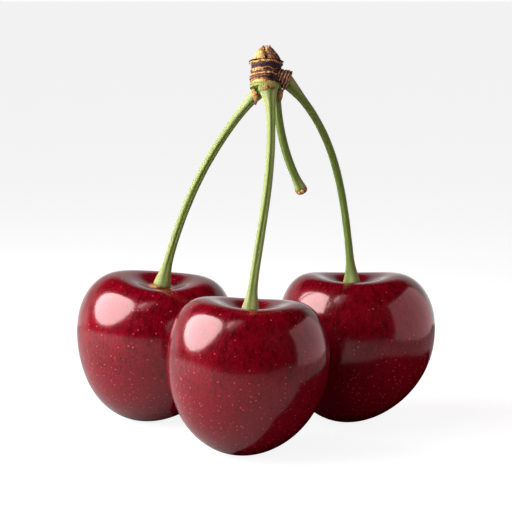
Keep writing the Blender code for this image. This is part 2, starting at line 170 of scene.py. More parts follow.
STALK_FOOT = PIT_FLOOR_RADIUS - SEAT_GAP
STALKS = {
    "front": Stalk(
        middle=0.70 * MM,
        top=1.80 * MM,
        top_flare=2.8 * MM,
        foot_flare=2.2 * MM,
        set_off=(0.16, -0.42, -1),
        top_reach=0.36,
        foot_reach=0.30,
        foot=STALK_FOOT,
        foot_lean=2,
        groove=18,
        painted_lightness=0.08,
        seed=21,
    ),
    "left": Stalk(
        middle=0.72 * MM,
        top=1.32 * MM,
        top_flare=3.0 * MM,
        foot_flare=2.6 * MM,
        set_off=(-0.67, 0.20, -0.74),
        top_reach=0.45,
        foot_reach=0.24,
        foot=STALK_FOOT,
        foot_lean=11,
        groove=30,
        painted_lightness=0.04,
        seed=22,
    ),
    "right": Stalk(
        middle=0.64 * MM,
        top=1.25 * MM,
        top_flare=3.0 * MM,
        foot_flare=2.4 * MM,
        set_off=(0.69, 0.15, -0.72),
        top_reach=0.27,
        foot_reach=0.54,
        foot=STALK_FOOT,
        foot_lean=-4,
        groove=-10,
        painted_lightness=-0.22,
        seed=23,
    ),
    "bare": Stalk(
        middle=0.68 * MM,
        top=0.78 * MM,
        top_flare=3.0 * MM,
        foot_flare=1.3 * MM,
        set_off=(0.02, 0.05, -1),
        top_reach=0.55,
        foot_reach=0.16,
        foot=1.02 * MM,
        foot_lean=0,
        groove=10,
        painted_lightness=-0.20,
        seed=24,
    ),
}
# Where a stalk leaves the spur's foot: distance from its axis, and turn from +X towards +Y.
FOOT_SOCKETS = {"front": (1.55 * MM, -80), "left": (1.25 * MM, 114), "bare": (1.80 * MM, 20)}
SOCKET_DEPTH = 0.6 * MM
BARE_END_AIM = np.array([0.38, 0.1, -1])
SCAR_TO_STALK = 0.5 * MM  # the bare stalk ends this far short of the scar's middle


# ---------------------------------------------------------------- settings


class SkinSettings(PropertyGroup):
    """The fruit's skin."""

    deep: FloatVectorProperty(
        name="Deep",
        description="Darkest red of the skin",
        subtype="COLOR",
        default=(0.050, 0.0003, 0.0018),
    )
    bright: FloatVectorProperty(
        name="Bright",
        description="Livelier red in the streaks",
        subtype="COLOR",
        default=(0.176, 0.0007, 0.0072),
    )
    speck: FloatVectorProperty(
        name="Speck",
        description="Colour of the pores",
        subtype="COLOR",
        default=(0.46, 0.055, 0.065),
    )
    scar: FloatVectorProperty(
        name="Scar",
        description="Dry dot at the blossom end",
        subtype="COLOR",
        default=(0.30, 0.14, 0.05),
    )
    rind: FloatVectorProperty(
        name="Rind",
        description="Orange skin round a stalk's foot",
        subtype="COLOR",
        default=(0.50, 0.20, 0.03),
    )
    pore_spacing: FloatProperty(
        name="Pore spacing",
        description="Distance between pores",
        unit="LENGTH",
        default=0.78 * MM,
    )
    roughness: FloatProperty(
        name="Roughness",
        description="Roughness of the waxy skin",
        subtype="FACTOR",
        default=0.17,
    )
    rings: IntProperty(
        name="Rings",
        description="Rings of points on a fruit",
        default=170,
        min=20,
    )
    sides: IntProperty(
        name="Sides",
        description="Points round a fruit",
        default=224,
        min=16,
    )


class StalkSettings(PropertyGroup):
    """The green stalks."""

    pale: FloatVectorProperty(
        name="Pale",
        description="Pale green of the ridges",
        subtype="COLOR",
        default=(0.25, 0.275, 0.10),
    )
    green: FloatVectorProperty(
        name="Green",
        description="Green between the ridges",
        subtype="COLOR",
        default=(0.105, 0.150, 0.022),
    )
    blush: FloatVectorProperty(
        name="Blush",
        description="Brown blush at the ends",
        subtype="COLOR",
        default=(0.20, 0.08, 0.03),
    )
    ridge: FloatProperty(
        name="Ridge",
        description="Height of the lengthwise ridges",
        unit="LENGTH",
        default=0.035 * MM,
    )
    sides: IntProperty(
        name="Sides",
        description="Points round a stalk",
        default=64,
        min=12,
    )
    rings: IntProperty(
        name="Rings",
        description="Rings of points on a stalk",
        default=300,
        min=20,
    )


class WoodSettings(PropertyGroup):
    """The spur, the side bud and their scales."""

    dark: FloatVectorProperty(
        name="Dark",
        description="Purple black between the rings",
        subtype="COLOR",
        default=(0.020, 0.005, 0.009),
    )
    bark: FloatVectorProperty(
        name="Bark",
        description="Brown of the bark",
        subtype="COLOR",
        default=(0.130, 0.042, 0.026),
    )
    tan: FloatVectorProperty(
        name="Tan",
        description="Dry edges of the scales",
        subtype="COLOR",
        default=(0.36, 0.155, 0.043),
    )
    straw: FloatVectorProperty(
        name="Straw",
        description="Pale inner face of torn scales",
        subtype="COLOR",
        default=(0.60, 0.42, 0.145),
    )
    green: FloatVectorProperty(
        name="Green",
        description="Green collar at the foot",
        subtype="COLOR",
        default=(0.20, 0.25, 0.055),
    )
    lip: FloatProperty(
        name="Lip",
        description="How far a scar ring stands out",
        unit="LENGTH",
        default=0.19 * MM,
    )


class StudioSettings(PropertyGroup):
    """Camera, floor and lights."""

    distance: FloatProperty(
        name="Distance",
        description="Camera from the middle of the bunch",
        unit="LENGTH",
        default=0.3,
    )
    elevation: FloatProperty(
        name="Elevation",
        description="Camera above the horizon",
        subtype="ANGLE",
        default=math.radians(9),
    )
    lens: FloatProperty(
        name="Lens",
        description="Focal length",
        unit="CAMERA",
        default=127.8,
    )
    aim_height: FloatProperty(
        name="Aim height",
        description="Height that the camera looks at",
        unit="LENGTH",
        default=30.5 * MM,
    )
    key: FloatProperty(
        name="Key",
        description="Radiance of the large softbox on the left",
        default=10.5,
    )
    small_lamp: FloatProperty(
        name="Small lamp",
        description="Radiance of the lamp beside the key in the skin's reflections",
        default=5.0,
    )
    small_halo: FloatProperty(
        name="Small halo",
        description="Radiance of the glow round the small lamp",
        default=1.0,
    )
    front_fill: FloatProperty(
        name="Front fill",
        description="Radiance of the soft light from the front left",
        default=2.8,
    )
    side_fill: FloatProperty(
        name="Side fill",
        description="Radiance of the soft light from the front right",
        default=1.2,
    )
    low_bounce: FloatProperty(
        name="Low bounce",
        description="Radiance of the light that comes up from the table",
        default=1.6,
    )
    ambient: FloatProperty(
        name="Ambient",
        description="Light from all round",
        default=0.03,
    )
    floor: FloatVectorProperty(
        name="Floor",
        description="Colour of the floor",
        subtype="COLOR",
        default=(0.26, 0.26, 0.26),
    )


class CherrySettings(PropertyGroup):
    """Everything that a user may change."""

    skin: PointerProperty(type=SkinSettings)
    stalk: PointerProperty(type=StalkSettings)
    wood: PointerProperty(type=WoodSettings)
    studio: PointerProperty(type=StudioSettings)


# ---------------------------------------------------------------- arrays


def unit(vector):
    vector = np.asarray(vector, float)
    return vector / np.linalg.norm(vector, axis=-1, keepdims=True)


def lean(back, right):
    """Rotation that leans +Z away from the front and to the right, in degrees, as an array."""
    turn = Matrix.Rotation(math.radians(right), 3, "Y") @ Matrix.Rotation(math.radians(-back), 3, "X")
    return np.array(turn)


def turned_to(direction):
    """Rotation that carries +Z onto a direction, as an array."""
    return np.array(Vector(UP).rotation_difference(Vector(unit(direction))).to_matrix())


def turns(count):
    """Angles once round, from +X towards +Y."""
    return np.arange(count) * FULL_TURN / count


def bump(value, centre, width):
    """A smooth hill of height 1: the bell exp(-((value - centre) / width)^2)."""
    return np.exp(-(((value - centre) / width) ** 2))


def rise(value, low, high):
    """0 below low, 1 above high, and a smooth S between: 3t^2 - 2t^3."""
    share = np.clip((value - low) / (high - low), 0, 1)
    return share * share * (3 - 2 * share)


def round_gap(turn, centre):
    """Angle between a turn and a centre in degrees, the short way round, signed."""
    return (turn - math.radians(centre) + math.pi) % FULL_TURN - math.pi


RIPPLE_HEIGHT = 0.8  # keeps nearly all of a sum of waves within -1 to 1


@dataclass
class Ripples:
    """Cosine waves that close on themselves round a piece, about -1 to 1.

    Each wave has a whole number of crests round the piece, a pitch along it and a phase, all
    drawn from the seed.
    """

    seed: int
    waves: int
    most_round: int
    most_along: float

    def at(self, turn, along, number=0):
        """Sum of the waves at a turn and a way along. Each number has waves of its own."""
        draw = np.random.default_rng(self.seed + number)
        total = 0
        for _ in range(self.waves):
            crests = draw.integers(0, self.most_round + 1)
            pitch = draw.uniform(-self.most_along, self.most_along)
            phase = draw.uniform(0, FULL_TURN)
            total = total + np.cos(crests * turn + pitch * along + phase)
        return total / math.sqrt(self.waves) * RIPPLE_HEIGHT


# ---------------------------------------------------------------- meshes


def closed_skin(name, rings, layers):
    """Object whose mesh joins rings of points, an array of rings by points round by 3.

    Neighbouring rings are joined by quads and each end ring is closed by a fan on its middle
    point. Each layer is an attribute of the points: an array of rings by points round, or
    that by 3. Faces point outwards, which the sign of the enclosed volume decides.
    """
    count, sides, _ = rings.shape
    points = np.concatenate([rings.reshape(-1, 3), rings[0].mean(0)[None], rings[-1].mean(0)[None]])
    first, last = count * sides, count * sides + 1
    here = np.arange(sides)
    after = np.roll(here, -1)
    start = (np.arange(count - 1) * sides)[:, None]
    quads = np.stack([start + here, start + after, start + sides + after, start + sides + here], -1)
    quads = quads.reshape(-1, 4)
    bottom = np.stack([np.full(sides, first), after, here], -1)
    top = np.stack([np.full(sides, last), here + (count - 1) * sides, after + (count - 1) * sides], -1)
    fans = np.concatenate([bottom, top])
    tris = np.concatenate([quads[:, [0, 1, 2]], quads[:, [0, 2, 3]], fans])
    corners = points[tris] - points.mean(0)
    if np.einsum("ij,ij->i", corners[:, 0], np.cross(corners[:, 1], corners[:, 2])).sum() < 0:
        quads, fans = quads[:, ::-1], fans[:, ::-1]
    mesh = bpy.data.meshes.new(name)
    mesh.from_pydata(points, [], [*quads.tolist(), *fans.tolist()])
    for label, values in layers.items():
        width = values.shape[2:]
        ends = [values[0].mean(0)[None], values[-1].mean(0)[None]]
        flat = np.concatenate([values.reshape(-1, *width), *ends])
        kind, key = ("FLOAT_VECTOR", "vector") if width else ("FLOAT", "value")
        mesh.attributes.new(label, kind, "POINT").data.foreach_set(key, flat.astype(np.float32).ravel())
    mesh.shade_smooth()
    mesh.update()
    obj = bpy.data.objects.new(name, mesh)
    bpy.context.scene.collection.objects.link(obj)
    return obj


def finished(obj, material, node):
    """Gives a piece its material, hides the solid that it stands for and hangs it from the root."""
    obj.data.materials.append(material)
    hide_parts(node)
    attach(obj, "root")
    return obj


def ring_points(radius, turn, height):
    """Points at a radius, turn and height about the local Z axis."""
    return np.stack([radius * np.cos(turn), radius * np.sin(turn), height + 0 * radius], -1)


def spokes(turn, outward, side):
    """Directions away from a centre line: outward at no turn, and towards the side after it."""
    return np.cos(turn)[..., None] * outward + np.sin(turn)[..., None] * side


def grain(turn, along):
    """Layer for patterns that run lengthwise: cosine and sine of the turn, and the way along."""
    turn, along = np.broadcast_arrays(turn, along)
    return np.stack([np.cos(turn), np.sin(turn), along], -1)


# ---------------------------------------------------------------- shader maths


class Number:
    """A number socket of a recipe. Arithmetic on it adds Math nodes."""

    def __init__(self, recipe, socket):
        self.recipe = recipe
        self.socket = socket

    def _math(self, operation, *terms):
        made = self.recipe.node("ShaderNodeMath", {"operation": operation}, dict(enumerate(terms)))
        return Number(self.recipe, made.outputs[0])

    def __add__(self, other):
        return self._math("ADD", self, other)

    __radd__ = __add__

    def __sub__(self, other):
        return self._math("SUBTRACT", self, other)

    def __rsub__(self, other):
        return self._math("SUBTRACT", other, self)

    def __mul__(self, other):
        return self._math("MULTIPLY", self, other)

    __rmul__ = __mul__

    def over(self, low, high):
        """0 below low, 1 above high, smooth between."""
        made = self.recipe.node(
            "ShaderNodeMapRange",
            {"interpolation_type": "SMOOTHSTEP"},
            {"Value": self, "From Min": low, "From Max": high},
        )
        return Number(self.recipe, made.outputs["Result"])


class Recipe:
    """The node tree of a material or of the world."""

    def __init__(self, owner):
        owner.use_nodes = True
        self.owner = owner
        self.tree = owner.node_tree

    def node(self, kind, settings=None, inputs=None):
        """Adds a node: its settings are set first, then its sockets get values or links."""
        made = self.tree.nodes.new(kind)
        for key, value in (settings or {}).items():
            setattr(made, key, value)
        for key, value in (inputs or {}).items():
            self.feed(made.inputs[key], value)
        return made

    def feed(self, socket, value):
        if isinstance(value, Number):
            value = value.socket
        if isinstance(value, bpy.types.NodeSocket):
            self.tree.links.new(value, socket)
        elif socket.type == "RGBA":
            socket.default_value = (*value[:3], 1)
        else:
            socket.default_value = value

    def place(self):
        return self.node("ShaderNodeTexCoord").outputs["Object"]

    def layer(self, name):
        return Number(self, self.node("ShaderNodeAttribute", {"attribute_name": name}).outputs["Fac"])

    def vector_layer(self, name):
        return self.node("ShaderNodeAttribute", {"attribute_name": name}).outputs["Vector"]

    def stretched(self, vector, factors):
        inputs = {0: vector, 1: factors}
        return self.node("ShaderNodeVectorMath", {"operation": "MULTIPLY"}, inputs).outputs["Vector"]

    def noise(self, vector, scale, detail=2.0, roughness=0.5, distortion=0.0):
        inputs = {
            "Vector": vector,
            "Scale": scale,
            "Detail": detail,
            "Roughness": roughness,
            "Distortion": distortion,
        }
        return Number(self, self.node("ShaderNodeTexNoise", None, inputs).outputs[0])

    def cells(self, vector, scale):
        """Distance to the nearest of scattered points, and a number that is that point's own."""
        made = self.node("ShaderNodeTexVoronoi", None, {"Vector": vector, "Scale": scale})
        own = self.node("ShaderNodeSeparateColor", None, {0: made.outputs["Color"]})
        return Number(self, made.outputs["Distance"]), Number(self, own.outputs[0])

    def mix(self, factor, first, second):
        inputs = {0: factor, 6: first, 7: second}
        return self.node("ShaderNodeMix", {"data_type": "RGBA"}, inputs).outputs[2]

    def finish(self, colour, roughness, height=None, relief=0.0, **uniform):
        """Feeds the shader. relief is how far a height of 1 stands out, in metres."""
        sockets = self.tree.nodes["Principled BSDF"].inputs
        self.feed(sockets["Base Color"], colour)
        self.feed(sockets["Roughness"], roughness)
        if height is not None:
            inputs = {"Height": height, "Distance": relief, "Strength": 1.0}
            self.feed(sockets["Normal"], self.node("ShaderNodeBump", None, inputs).outputs[0])
        for key, value in uniform.items():
            sockets[key.replace("_", " ").title().replace("Ior", "IOR")].default_value = value
        return self.owner


# ---------------------------------------------------------------- fruit


SEAT_RINGS, SEAT_SIDES = 181, 180  # fine enough to find how a fruit stands in its box
FIRST_SHARE, LAST_SHARE = 0.004, 0.999  # where the rings start and end between the poles
CROWDING = 1.15  # crowds the rings towards the pit
SWELL = 0.0016
SWELL_WAVES = Ripples(seed=0, waves=7, most_round=4, most_along=3)
LOW_FROM, LOW_TO = 1.2, 2.6  # angles from the top between which the skin's lower part begins
SCAR_SPREAD = 0.05
RIND_SPREAD = 0.30
RIND_BEHIND = 0.35  # how much rind the front and back have, against the sides


def fruit_distance(fruit, polar, turn):
    """Distance from the girth's centre to the skin in a direction given by its angles.

    The body is an egg of two half superellipses joined at the girth:
    ((sin/across)^p + (|cos|/along)^p)^(-1/p). A dent exp(-(angle past the floor / opening)^2)
    is pressed into its top, and it opens wider to the front and back than to the sides.
    """
    across = 1 / np.hypot(np.cos(turn) / (fruit.width / 2), np.sin(turn) / (fruit.thickness / 2))
    upper = polar < math.pi / 2
    power = np.where(upper, SHOULDER_SQUARENESS, 2.0)
    along = np.where(upper, fruit.crown, fruit.base)
    egg = ((np.sin(polar) / across) ** power + (np.abs(np.cos(polar)) / along) ** power) ** (-1 / power)
    floor = math.atan(PIT_FLOOR_RADIUS / (fruit.crown - fruit.pit_drop))
    opened = PIT_WALL_ANGLE * (1 + fruit.rim_dip * np.sin(turn) ** 2)
    past = np.maximum(0, polar - floor)
    dent = fruit.pit_drop / fruit.crown * np.exp(-((past / opened) ** 2))
    return egg * (1 - dent)


def fruit_place(name):
    """Rotation and place of a fruit: its skin stands on the table in the middle of its box."""
    fruit = FRUITS[name]
    polar, turn = np.meshgrid(np.linspace(0, math.pi, SEAT_RINGS), turns(SEAT_SIDES), indexing="ij")
    turned = fruit_points(fruit, polar, turn) @ lean(fruit.lean_back, fruit.lean_right).T
    turned = turned.reshape(-1, 3)
    low, high = (np.array(corner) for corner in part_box(f"cherry_{name}"))
    place = (low + high) / 2 - (turned.min(0) + turned.max(0)) / 2
    place[2] = low[2] - PATCH_DEPTH - turned[:, 2].min()
    return lean(fruit.lean_back, fruit.lean_right), place


def fruit_points(fruit, polar, turn):
    """The skin about the girth's centre. The pit and the blossom end lie off the axis."""
    out = fruit_distance(fruit, polar, turn)
    height = np.cos(polar)
    shift = np.where(height > 0, fruit.pit_shift * height**2, fruit.tip_shift * np.abs(height) ** 3)
    right = out * np.sin(polar) * np.cos(turn) + shift
    return np.stack([right, out * np.sin(polar) * np.sin(turn), out * height], -1)


STREAKS_STRETCH = (15, 15, 5.5)
MOTTLE_STRETCH = (30, 30, 16)
CLOUD_SCALE = 140
FINE_SCALE = 2600
ORANGE_PEEL_SCALE = 1500
TINY_PORES_SCALE = 2.6  # to a pore's one
PORE_GAP = (0.10, 0.23)  # a pore's full and last reach, in cells
TINY_PORE_GAP = (0.10, 0.26)
SKIN_RELIEF = 0.012 * MM
RED_GLOSS = (1.0, 0.56, 0.57, 1.0)


def skin_material(skin):
    """Waxy dark red skin with lengthwise streaks and scattered pale pores.

    Each weight below says how much of a pattern goes into a sum, and each pair of numbers
    says between which sums the first colour turns into the second.
    """
    recipe = Recipe(bpy.data.materials.new("cherry_skin"))
    place, lengthwise = recipe.place(), recipe.vector_layer("grain")
    low = recipe.layer("low")
    streaks = recipe.noise(recipe.stretched(lengthwise, STREAKS_STRETCH), 1.0, 5.0, 0.7)
    clouds = recipe.noise(place, CLOUD_SCALE, 2.0)
    fine = recipe.noise(place, FINE_SCALE, 3.0, 0.6)
    mottle = recipe.noise(recipe.stretched(lengthwise, MOTTLE_STRETCH), 1.0, 3.0, 0.6)
    # low * 0.28 is partly the skin's own colour and partly painted light: the lower part is painted a
    # livelier red, as light thrown up from the table.
    lively = streaks * 0.9 + mottle * 0.6 + clouds * 0.4 + fine * 0.3 + low * 0.28
    flesh = recipe.mix(lively.over(0.82, 1.40), skin.deep, skin.bright)
    gap, own = recipe.cells(place, 1 / skin.pore_spacing)
    kept = (own + low * 0.95).over(0.76, 0.86)
    pore = kept * (1 - gap.over(*PORE_GAP))
    tiny_gap, tiny_own = recipe.cells(place, TINY_PORES_SCALE / skin.pore_spacing)
    tiny = (tiny_own + low * 0.6).over(0.8, 0.9) * (1 - tiny_gap.over(*TINY_PORE_GAP))
    flesh = recipe.mix(pore * 0.85 + tiny * 0.6, flesh, skin.speck)
    flesh = recipe.mix(recipe.layer("scar"), flesh, skin.scar)
    rind = recipe.layer("rind") + (clouds - 0.5) * 0.8 + (fine - 0.5) * 0.4
    flesh = recipe.mix(rind.over(0.32, 0.62), flesh, skin.rind)
    height = recipe.noise(place, ORANGE_PEEL_SCALE, 3.0, 0.55) - pore * 0.5
    roughness = fine * 0.06 + (skin.roughness - 0.03)
    return recipe.finish(
        flesh,
        roughness,
        height,
        SKIN_RELIEF,
        ior=1.45,
        specular_ior_level=0.75,
        specular_tint=RED_GLOSS,
        coat_weight=0.35,
        coat_roughness=0.08,
    )


class CHERRIES_OT_fruit(Operator):
    """Adds the three fruit with their waxy skin"""

    bl_idname = "cherries.fruit"
    bl_label = "Fruit"

    def execute(self, context):
        skin = context.scene.cherries.skin
        material = skin_material(skin)
        for name, fruit in FRUITS.items():
            share = np.linspace(FIRST_SHARE, LAST_SHARE, skin.rings)[:, None]
            polar = math.pi * share**CROWDING
            turn = turns(skin.sides)[None, :]
            polar, turn = np.broadcast_arrays(polar, turn)
            points = fruit_points(fruit, polar, turn)
            swell = SWELL_WAVES.at(turn, polar, fruit.seed) * np.sin(polar) ** 2
            points = points * (1 + SWELL * swell)[..., None]
            rotation, place = fruit_place(name)
            points = points @ rotation.T + place
            points[..., 2] = np.maximum(points[..., 2], 0)
            sideways = RIND_BEHIND + (1 - RIND_BEHIND) * np.cos(turn) ** 2
            layers = {
                "grain": grain(turn, polar),
                "low": rise(polar, LOW_FROM, LOW_TO),
                "scar": bump(polar, math.pi, SCAR_SPREAD),
                "rind": bump(polar, 0, RIND_SPREAD) * sideways,
            }
            cherry = closed_skin(f"cherry_{name}_skin", points, layers)
            finished(cherry, material, f"cherry_{name}")
        return {"FINISHED"}


# ---------------------------------------------------------------- spur


RING_OVERHANG = 0.16 * MM  # how far the solid spur's rings stand out


def spur_frame():
    """Rotation and foot of the spur, found from its box.

    A leaning turned piece reaches, along each world axis, from the lowest to the highest of
    height * axis -+ radius * sqrt(1 - axis^2) over its discs.
    """
    rotation = lean(SPUR_LEAN_BACK, SPUR_LEAN_RIGHT)
    axis = rotation @ UP
    edge = np.sqrt(1 - axis**2)
    discs = np.array(
        [
            (0, SPUR_FOOT_RADIUS + RING_OVERHANG),
            (SPUR_NECK, SPUR_NECK_RADIUS + RING_OVERHANG),
            (SPUR_LENGTH, SPUR_TIP_RADIUS),
        ]
    )
    heights, radii = discs[:, :1], discs[:, 1:]
    reach_low = (heights * axis - radii * edge).min(0)
    reach_high = (heights * axis + radii * edge).max(0)
    low, high = (np.array(corner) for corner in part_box("spur"))
    return rotation, (low + high) / 2 - (reach_low + reach_high) / 2


@dataclass
class ScarRing:
    """A ragged ring left by a fallen scale, on the spur."""

    height: float
    thickness: float
    stand_out: float  # in lips
    pale: float  # how dry and pale its edge is, 0 to 1
    ragged: float  # how far its edge wanders


SCAR_RINGS = (
    ScarRing(0.12 * MM, 0.13 * MM, 0.5, 0.45, 0.08 * MM),
    ScarRing(0.62 * MM, 0.15 * MM, 0.9, 0.50, 0.10 * MM),
    ScarRing(1.15 * MM, 0.11 * MM, 0.5, 0.35, 0.12 * MM),
    ScarRing(1.55 * MM, 0.12 * MM, 0.7, 0.30, 0.12 * MM),
    ScarRing(2.05 * MM, 0.13 * MM, 0.9, 0.80, 0.12 * MM),
    ScarRing(2.45 * MM, 0.12 * MM, 0.6, 0.25, 0.10 * MM),
    ScarRing(2.95 * MM, 0.14 * MM, 0.8, 0.45, 0.12 * MM),
    ScarRing(3.45 * MM, 0.16 * MM, 0.4, 0.0, 0.10 * MM),
    ScarRing(4.15 * MM, 0.24 * MM, 1.3, 0.85, 0.12 * MM),
)


@dataclass
class Patch:
    """A soft patch on the spur. Its turn is in degrees from +X towards +Y, its spread in radians."""

    height: float
    tall: float
    turn: float
    spread: float

    def over(self, height, turn):
        """1 in its middle, fading both ways by the bell of bump, and nothing round the back."""
        gap = round_gap(turn, self.turn)
        return bump(height, self.height, self.tall) * bump(gap, 0, self.spread) * (np.cos(gap) > 0)


TORN_FACES = (Patch(0.85 * MM, 0.22 * MM, -128, 0.55), Patch(2.75 * MM, 0.17 * MM, -135, 0.40))
BARK_PIT = Patch(1.35 * MM, 0.30 * MM, -68, 0.16)
BARK_PIT_DEPTH = 0.22 * MM
CORE_NOSE = Patch(6.5 * MM, 0.7 * MM, -80, 0.45)
CORE_NOSE_HEIGHT = 0.60 * MM
DARK_BAND_HEIGHT, DARK_BAND_THICKNESS = 3.45 * MM, 0.30 * MM
GREEN_FULL, GREEN_END = 0.42 * MM, 0.66 * MM  # heights where the green collar fades out
CORE_FROM, CORE_TO = SPUR_NECK + 0.5 * MM, SPUR_NECK + 0.9 * MM
# The first turn is the side of the spur painted as lit, the second the side painted in shade.
PAINTED_LIT_SIDE, PAINTED_SHADE_SIDE, CORE_PALE_SIDE = -140, -30, -80  # turns from +X towards +Y, in degrees
SPUR_INSET = 0.10 * MM  # the bark lies this far inside the solid, and its rings reach past it
SPUR_FLOOR_RINGS, SPUR_RINGS, SPUR_SIDES = 6, 210, 260
RING_WANDER = Ripples(seed=40, waves=6, most_round=9, most_along=0)
RING_TEETH = Ripples(seed=60, waves=8, most_round=23, most_along=0)
RING_BITE = 0.45  # how deep the teeth go, against how far the ring stands out
RING_LEAST, RING_MOST = 0.1, 1.6
BARK_ROUGHNESS = 0.03 * MM
BARK_WAVES = Ripples(seed=77, waves=12, most_round=17, most_along=5)
BARK_FIBRES_STRETCH = (7, 7, 1.4)
FLAKE_SCALE = 2400
GRIT_SCALE = 7000
BARK_RELIEF = 0.10 * MM


def wood_material(wood):
    """Bark with dry pale edges, nearly black grooves and a green tinge at the foot; on the spur its
    pale and dark layers also hold painted light and painted shade.
    """
    recipe = Recipe(bpy.data.materials.new("spur_bark"))
    place, lengthwise = recipe.place(), recipe.vector_layer("grain")
    pale, dark, green = recipe.layer("pale"), recipe.layer("dark"), recipe.layer("green")
    fibres = recipe.noise(recipe.stretched(lengthwise, BARK_FIBRES_STRETCH), 1.0, 4.0, 0.6)
    flakes = recipe.noise(place, FLAKE_SCALE, 4.0, 0.65)
    grit = recipe.noise(place, GRIT_SCALE, 2.0, 0.5)
    worn = flakes * 0.5 + fibres * 0.5
    ground = recipe.mix((worn + grit * 0.2).over(0.42, 0.72), wood.dark, wood.bark)
    dry = recipe.mix((worn + pale * 0.34).over(0.62, 0.92), wood.tan, wood.straw)
    colour = recipe.mix((pale + (worn - 0.5) * 1.4).over(0.16, 0.60), ground, dry)
    colour = recipe.mix((green + (worn - 0.5) * 0.9).over(0.40, 0.75), colour, wood.green)
    colour = recipe.mix((dark + (0.5 - worn) * 0.8).over(0.35, 0.9), colour, wood.dark)
    roughness = 0.62 + flakes * 0.3
    height = worn + grit * 0.35
    return recipe.finish(colour, roughness, height, BARK_RELIEF, specular_ior_level=0.35)


def spur_core(height):
    """Radius of the spur without its rings: a cone to the neck, then a rounded core."""
    share = np.clip((height - SPUR_NECK) / (SPUR_LENGTH - SPUR_NECK), 0, 1)
    below = SPUR_FOOT_RADIUS + (SPUR_NECK_RADIUS - SPUR_FOOT_RADIUS) * height / SPUR_NECK
    above = SPUR_CORE_RADIUS + (SPUR_TIP_RADIUS - SPUR_CORE_RADIUS) * share**1.2
    mixed = rise(height, SPUR_NECK, SPUR_NECK + 0.25 * MM)
    return below * (1 - mixed) + above * mixed


class CHERRIES_OT_spur(Operator):
    """Adds the woody spur with its ragged scar rings"""

    bl_idname = "cherries.spur"
    bl_label = "Spur"

    def execute(self, context):
        wood = context.scene.cherries.wood
        floor = np.zeros(SPUR_FLOOR_RINGS)
        height = np.concatenate([floor, np.linspace(0, SPUR_LENGTH, SPUR_RINGS)])[:, None]
        inset = np.concatenate([np.linspace(0.1, 0.97, SPUR_FLOOR_RINGS), np.ones(SPUR_RINGS)])[:, None]
        turn = turns(SPUR_SIDES)[None, :]
        radius = spur_core(height) - SPUR_INSET
        pale = 0 * (height + turn)
        groove = 1 + pale
        # The layers below say how pale, dark and green the bark is, each from 0 to 1, and pale and dark
        # also carry painted light and painted shade on the spur's sides.
        # Painted light: the ring edges are paler on the side that faces the key light.
        side = 0.5 + 0.5 * np.cos(round_gap(turn, PAINTED_LIT_SIDE))
        for number, ring in enumerate(SCAR_RINGS):
            wander = ring.ragged * RING_WANDER.at(turn, 0, number)
            bite = np.clip(1 + RING_BITE * RING_TEETH.at(turn, 0, number), RING_LEAST, RING_MOST)
            edge = bump(height, ring.height + wander, ring.thickness)
            radius = radius + wood.lip * ring.stand_out * edge * bite
            pale = np.maximum(pale, edge * ring.pale * (0.35 + 0.75 * side))
            groove = groove * (1 - 0.85 * edge)
        torn = sum(patch.over(height, turn) for patch in TORN_FACES)
        pale = np.clip(pale + torn * 1.1, 0, 1)
        band = bump(height, DARK_BAND_HEIGHT, DARK_BAND_THICKNESS)
        pit = BARK_PIT.over(height, turn)
        # Painted shade: below the neck the bark is painted darker on the side turned away from the key
        # light.
        shade = 0.45 * rise(np.cos(round_gap(turn, PAINTED_SHADE_SIDE)), -0.1, 0.8) * (height < SPUR_NECK)
        dark = np.clip(groove * (1 - pale) * 0.40 + band * 0.75 + pit + shade * (1 - pale), 0, 1)
        green = rise(-height, -GREEN_END, -GREEN_FULL) * (1 - 0.55 * pale)
        core = rise(height, CORE_FROM, CORE_TO)
        core_pale = 0.30 + 0.35 * bump(round_gap(turn, CORE_PALE_SIDE), 0, 0.5)
        pale = pale * (1 - core) + core * core_pale
        dark = dark * (1 - core)
        nose = CORE_NOSE.over(height, turn)
        radius = (radius - BARK_PIT_DEPTH * pit + CORE_NOSE_HEIGHT * nose) * inset
        radius = radius + BARK_ROUGHNESS * BARK_WAVES.at(turn, height / MM) * inset
        rotation, foot = spur_frame()
        points = ring_points(radius, turn, height) @ rotation.T + foot
        layers = {"grain": grain(turn, height / MM), "pale": pale, "dark": dark, "green": green}
        spur = closed_skin("spur_wood", points, layers)
        finished(spur, wood_material(wood), "spur")
        return {"FINISHED"}


# ---------------------------------------------------------------- side bud


def bud_frame():
    """Rotation and mouth of the side bud, which stands off the side of the spur's foot."""
    rotation, foot = spur_frame()
    aim = unit(BUD_AIM)
    mouth_height = BUD_MOUTH_RADIUS * math.sqrt(1 - aim[2] ** 2) + BUD_ABOVE_FOOT
    mouth = rotation @ np.array([SPUR_FOOT_RADIUS + BUD_STAND_OFF, 0, mouth_height]) + foot
    return turned_to(aim), mouth


BUD_LIP = 0.05 * MM  # how far the skin reaches past the solid's mouth
BUD_INSET = 0.06 * MM
BUD_BACK_RINGS, BUD_RINGS, BUD_FRONT_RINGS, BUD_SIDES = 5, 120, 6, 180
CUP_SHARES = (0.86, 0.66, 0.44, 0.24, 0.04)  # how deep the cups' edges lie
CUP_LIP = 0.14 * MM
CUP_THICKNESS = 0.13 * MM
CUP_RIM_THICKNESS = 0.09 * MM
CUP_WANDER = 0.05 * MM
CUP_WAVES = Ripples(seed=90, waves=5, most_round=7, most_along=0)
CUP_TEETH = Ripples(seed=97, waves=6, most_round=19, most_along=0)
CUP_BITE = 0.4
CUP_PALENESS = (0.5, 0.75)  # of the cups in turn
CUP_RIM_RISE = 0.05 * MM


